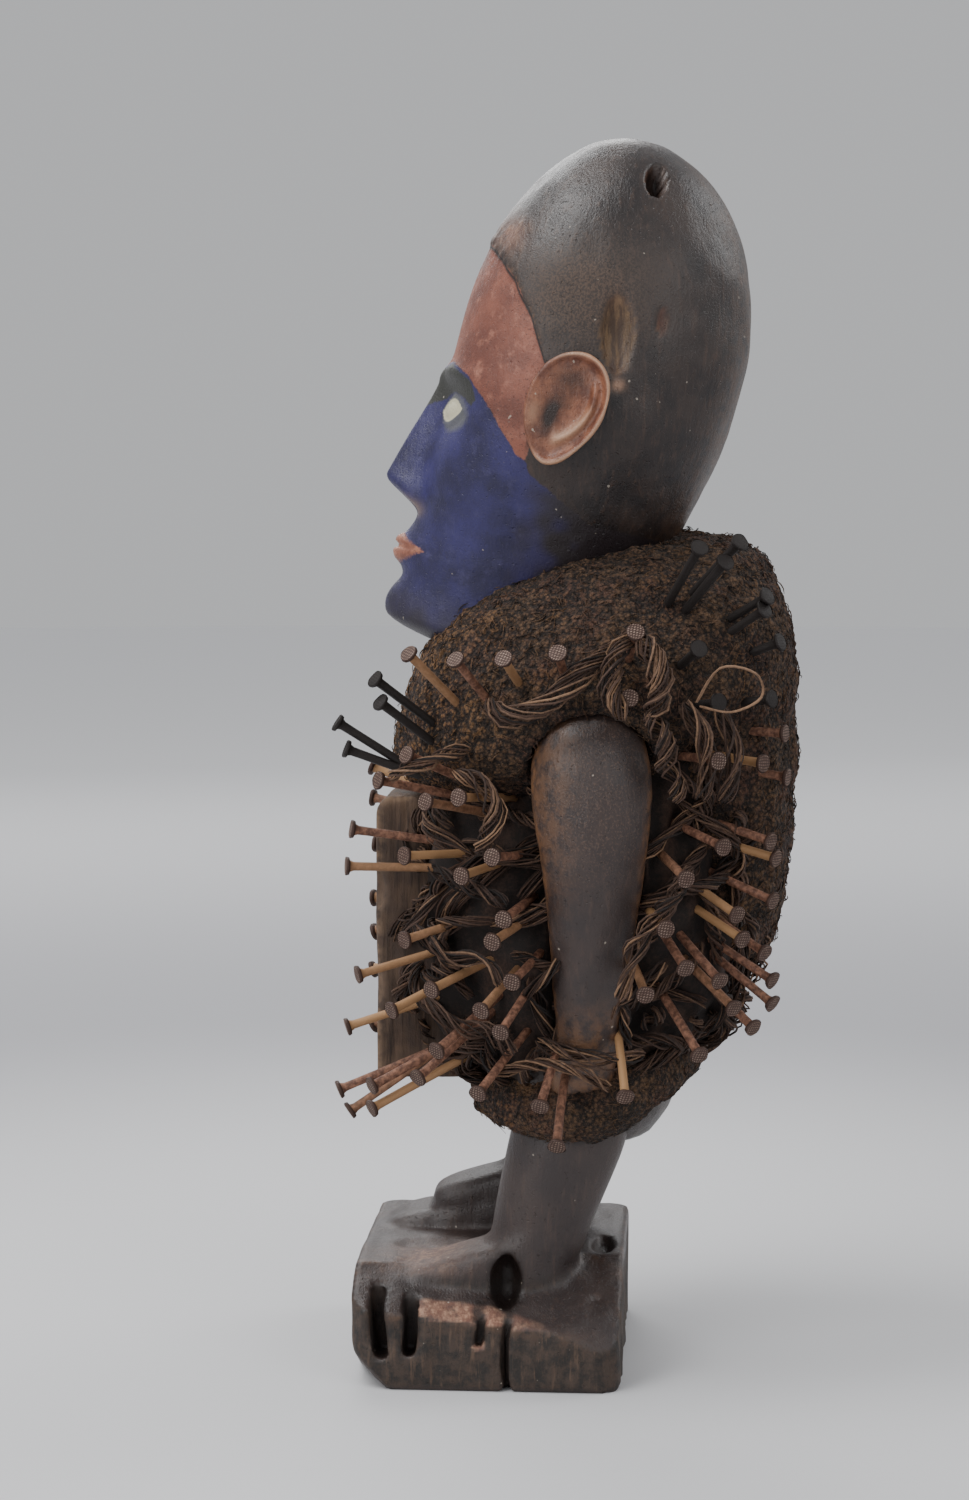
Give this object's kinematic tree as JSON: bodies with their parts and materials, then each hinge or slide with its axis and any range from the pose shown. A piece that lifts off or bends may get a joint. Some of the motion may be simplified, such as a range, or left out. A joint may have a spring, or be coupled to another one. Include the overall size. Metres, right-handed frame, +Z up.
{
  "type": "nkisi nkondi figure",
  "caption": "Standing carved wooden power figure on its own base, hands on hips, wrapped in fibre and studded with nails, with a closed belly box and a painted face.",
  "frame": {"origin": "middle of the base's flat underside, which is the surface the figure stands on", "axes": "+Z up; the figure faces -Y; its left side is +X"},
  "size_m": [0.1688, 0.1653, 0.4497],
  "materials": {
    "carved_wood": "satin",
    "box_wood": "matte",
    "fibre_crust": "matte",
    "fibre": "matte",
    "nail_iron": "matte"
  },
  "bodies": {
    "root": {"belly_box": "box_wood", "carved_figure": "carved_wood", "fibre_bundle_back_left": "fibre", "fibre_bundle_back_right": "fibre", "fibre_bundle_front_left": "fibre", "fibre_bundle_front_right": "fibre", "fibre_mantle": "fibre_crust", "hip_roll": "fibre_crust", "nail_left_01": "nail_iron", "nail_left_02": "nail_iron", "nail_left_03": "nail_iron", "nail_left_04": "nail_iron", "nail_left_05": "nail_iron", "nail_left_06": "nail_iron", "nail_left_07": "nail_iron", "nail_left_08": "nail_iron", "nail_left_11": "nail_iron", "nail_left_12": "nail_iron", "nail_left_13": "nail_iron", "nail_left_14": "nail_iron", "nail_left_15": "nail_iron", "nail_left_16": "nail_iron", "nail_left_18": "nail_iron", "nail_left_19": "nail_iron", "nail_left_21": "nail_iron", "nail_left_22": "nail_iron", "nail_left_23": "nail_iron", "nail_left_24": "nail_iron", "nail_left_25": "nail_iron", "nail_left_26": "nail_iron", "nail_left_28": "nail_iron", "nail_left_29": "nail_iron", "nail_left_30": "nail_iron", "nail_left_31": "nail_iron", "nail_left_33": "nail_iron", "nail_left_34": "nail_iron", "nail_left_35": "nail_iron", "nail_left_36": "nail_iron", "nail_left_37": "nail_iron", "nail_left_38": "nail_iron", "nail_left_39": "nail_iron", "nail_left_40": "nail_iron", "nail_left_41": "nail_iron", "nail_left_42": "nail_iron", "nail_right_09": "nail_iron", "nail_right_10": "nail_iron", "nail_right_17": "nail_iron", "nail_right_20": "nail_iron", "nail_right_27": "nail_iron", "nail_right_32": "nail_iron", "nail_right_43": "nail_iron"}
  },
  "joints": []
}
